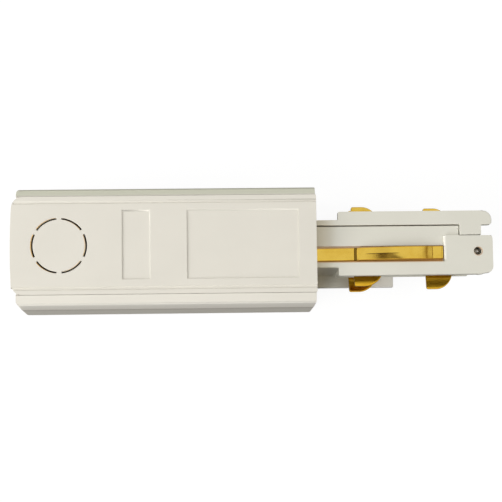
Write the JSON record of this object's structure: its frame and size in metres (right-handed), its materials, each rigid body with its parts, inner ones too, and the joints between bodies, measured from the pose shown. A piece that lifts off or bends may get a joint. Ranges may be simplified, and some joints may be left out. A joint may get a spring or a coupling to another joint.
{
  "type": "track live end",
  "caption": "Live end feed for a three-circuit lighting track: long case with a ceiling-side plate and a tongue with gold contacts.",
  "frame": {"origin": "middle of the bounding box in plan, on the flat room-side face", "axes": "+X along the length towards the tongue's tip, +Z from the room-side face to the ceiling side, +Y to the side of the tongue's hooked half"},
  "size_m": [0.1478, 0.036, 0.033],
  "materials": {
    "case_plastic": "fine satin, warm white",
    "tongue_plastic": "satin, slightly greyer warm white",
    "block_plastic": "matt light grey",
    "contact_metal": "bright gold-coloured strip",
    "cage_metal": "plain brass",
    "screw_metal": "zinc-plated steel"
  },
  "bodies": {
    "case": {"housing_body": "case_plastic", "front_cover": "case_plastic", "tongue_near": "tongue_plastic", "tongue_far": "tongue_plastic", "earth_contact": "contact_metal", "line_contact_1": "contact_metal", "line_contact_2": "contact_metal", "line_contact_3": "contact_metal", "neutral_contact": "contact_metal", "data_contact_1": "contact_metal", "data_contact_2": "contact_metal", "terminal_block": "block_plastic", "earth_cage": "cage_metal", "line_1_cage": "cage_metal", "line_2_cage": "cage_metal", "line_3_cage": "cage_metal", "neutral_cage": "cage_metal", "data_1_cage": "cage_metal", "data_2_cage": "cage_metal", "case_screw_1": "screw_metal", "case_screw_2": "screw_metal", "case_screw_3": "screw_metal", "case_screw_4": "screw_metal", "tongue_screw_1": "screw_metal", "tongue_screw_2": "screw_metal", "lock_nut": "cage_metal"},
    "plate": {"back_plate": "case_plastic"},
    "clamp": {"clamp_bar": "block_plastic", "clamp_screw_1": "screw_metal", "clamp_screw_2": "screw_metal"},
    "earth_terminal": {"earth_screw": "screw_metal"},
    "line_1_terminal": {"line_1_screw": "screw_metal"},
    "line_2_terminal": {"line_2_screw": "screw_metal"},
    "line_3_terminal": {"line_3_screw": "screw_metal"},
    "neutral_terminal": {"neutral_screw": "screw_metal"},
    "data_1_terminal": {"data_1_screw": "screw_metal"},
    "data_2_terminal": {"data_2_screw": "screw_metal"},
    "lock": {"lock_screw": "screw_metal"}
  },
  "joints": [
    {"name": "plate_lift", "type": "slide", "parent": "case", "child": "plate", "axis": [0, 0, 1], "range_m": [0, 0.02]},
    {"name": "clamp_travel", "type": "slide", "parent": "case", "child": "clamp", "axis": [0, 0, 1], "range_m": [0, 0.003]},
    {"name": "earth_terminal_travel", "type": "slide", "parent": "case", "child": "earth_terminal", "axis": [0, 0, 1], "range_m": [-0.0006, 0.0004]},
    {"name": "line_1_terminal_travel", "type": "slide", "parent": "case", "child": "line_1_terminal", "axis": [0, 0, 1], "range_m": [-0.0006, 0.0004]},
    {"name": "line_2_terminal_travel", "type": "slide", "parent": "case", "child": "line_2_terminal", "axis": [0, 0, 1], "range_m": [-0.0006, 0.0004]},
    {"name": "line_3_terminal_travel", "type": "slide", "parent": "case", "child": "line_3_terminal", "axis": [0, 0, 1], "range_m": [-0.0006, 0.0004]},
    {"name": "neutral_terminal_travel", "type": "slide", "parent": "case", "child": "neutral_terminal", "axis": [0, 0, 1], "range_m": [-0.0006, 0.0004]},
    {"name": "data_1_terminal_travel", "type": "slide", "parent": "case", "child": "data_1_terminal", "axis": [0, 0, 1], "range_m": [-0.0006, 0.0004]},
    {"name": "data_2_terminal_travel", "type": "slide", "parent": "case", "child": "data_2_terminal", "axis": [0, 0, 1], "range_m": [-0.0006, 0.0004]},
    {"name": "lock_travel", "type": "slide", "parent": "case", "child": "lock", "axis": [0, 0, 1], "range_m": [-0.001, 0.0018]}
  ]
}
